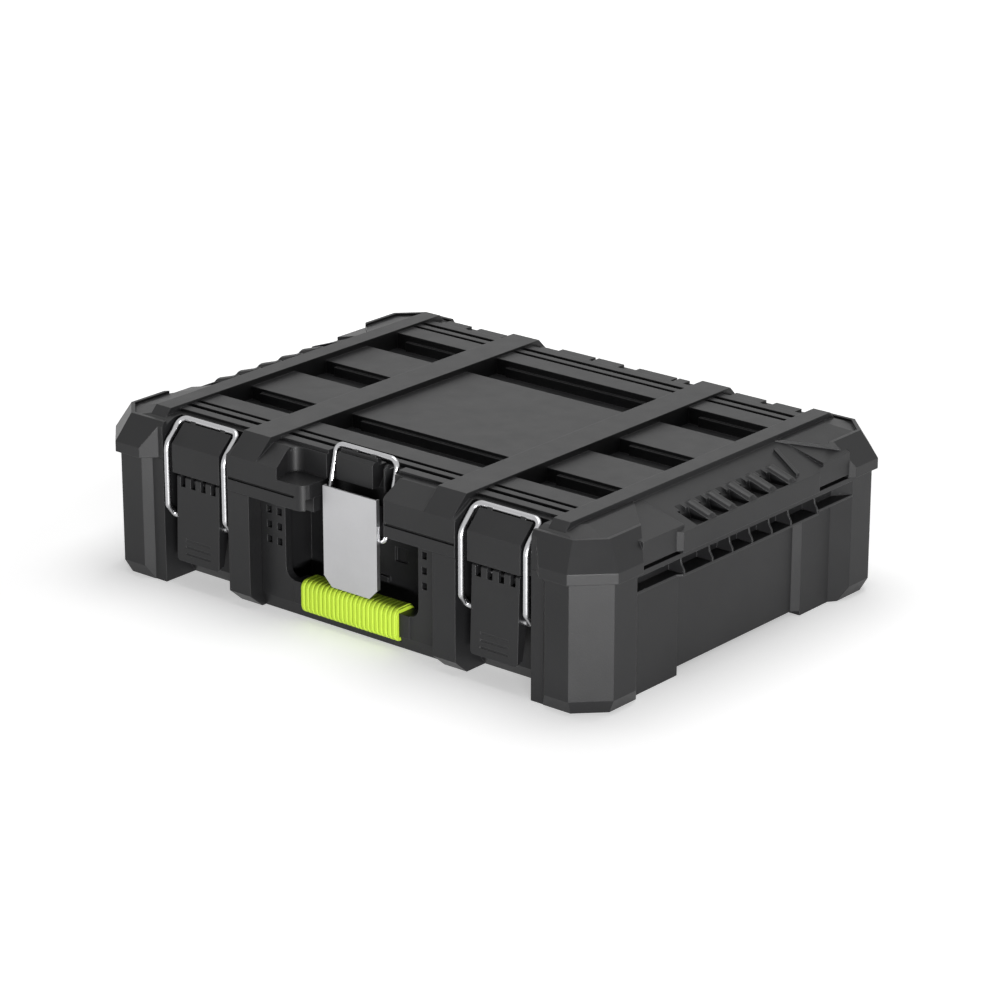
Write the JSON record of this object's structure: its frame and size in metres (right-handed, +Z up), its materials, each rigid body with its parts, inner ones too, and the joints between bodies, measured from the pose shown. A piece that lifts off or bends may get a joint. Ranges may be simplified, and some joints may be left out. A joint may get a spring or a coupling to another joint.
{
  "type": "stackable tool box",
  "caption": "Shallow rectangular tool box with a ribbed hinged lid, wire-and-lever latches, a front carrying handle with a ribbed grip and bars on top for stacking.",
  "frame": {"origin": "middle of the underside, on the floor", "axes": "+X to the right along the front, -Y out of the front, +Z up"},
  "size_m": [0.53, 0.3944, 0.1505],
  "materials": {
    "black_plastic": "fine moulded texture, satin",
    "green_plastic": "soft matt",
    "metal_face": "satin",
    "wire": "bright",
    "steel": "plain",
    "seal": "matt"
  },
  "bodies": {
    "base": {"base_shell": "black_plastic", "handle_frame": "black_plastic", "handle_grip": "green_plastic", "handle_screws": "steel", "left_latch_pin": "steel", "right_latch_pin": "steel", "centre_latch_pin": "steel", "left_hinge_pin": "steel", "right_hinge_pin": "steel"},
    "lid": {"lid_shell": "black_plastic", "lid_seal": "seal"},
    "left_wire": {"left_latch_bail": "wire"},
    "left_lever": {"left_latch_lever": "black_plastic"},
    "right_wire": {"right_latch_bail": "wire"},
    "right_lever": {"right_latch_lever": "black_plastic"},
    "centre_wire": {"centre_latch_bail": "wire"},
    "centre_lever": {"centre_latch_lever": "black_plastic", "centre_latch_cover": "metal_face"}
  },
  "joints": [
    {"name": "lid_hinge", "type": "hinge", "parent": "base", "child": "lid", "pos_m": [0, 0.1932, 0.10715], "axis": [-1, 0, 0], "range_deg": [0, 95]},
    {"name": "left_wire_swing", "type": "hinge", "parent": "lid", "child": "left_wire", "pos_m": [-0.1573, -0.168, 0.1397], "axis": [-1, 0, 0], "range_deg": [0, 36]},
    {"name": "left_lever_swing", "type": "hinge", "parent": "left_wire", "child": "left_lever", "pos_m": [-0.1573, -0.1792, 0.059], "axis": [-1, 0, 0], "range_deg": [0, 51]},
    {"name": "right_wire_swing", "type": "hinge", "parent": "lid", "child": "right_wire", "pos_m": [0.1573, -0.168, 0.1397], "axis": [-1, 0, 0], "range_deg": [0, 36]},
    {"name": "right_lever_swing", "type": "hinge", "parent": "right_wire", "child": "right_lever", "pos_m": [0.1573, -0.1792, 0.059], "axis": [-1, 0, 0], "range_deg": [0, 51]},
    {"name": "centre_wire_swing", "type": "hinge", "parent": "lid", "child": "centre_wire", "pos_m": [0, -0.1526, 0.1482], "axis": [-1, 0, 0], "range_deg": [0, 33]},
    {"name": "centre_lever_swing", "type": "hinge", "parent": "centre_wire", "child": "centre_lever", "pos_m": [0, -0.1682, 0.084], "axis": [-1, 0, 0], "range_deg": [0, 43]}
  ],
  "couplings": [
    {"joint": "left_lever_swing", "follows": "left_wire_swing", "ratio": 1.4},
    {"joint": "right_lever_swing", "follows": "right_wire_swing", "ratio": 1.4},
    {"joint": "centre_lever_swing", "follows": "centre_wire_swing", "ratio": 1.3}
  ]
}
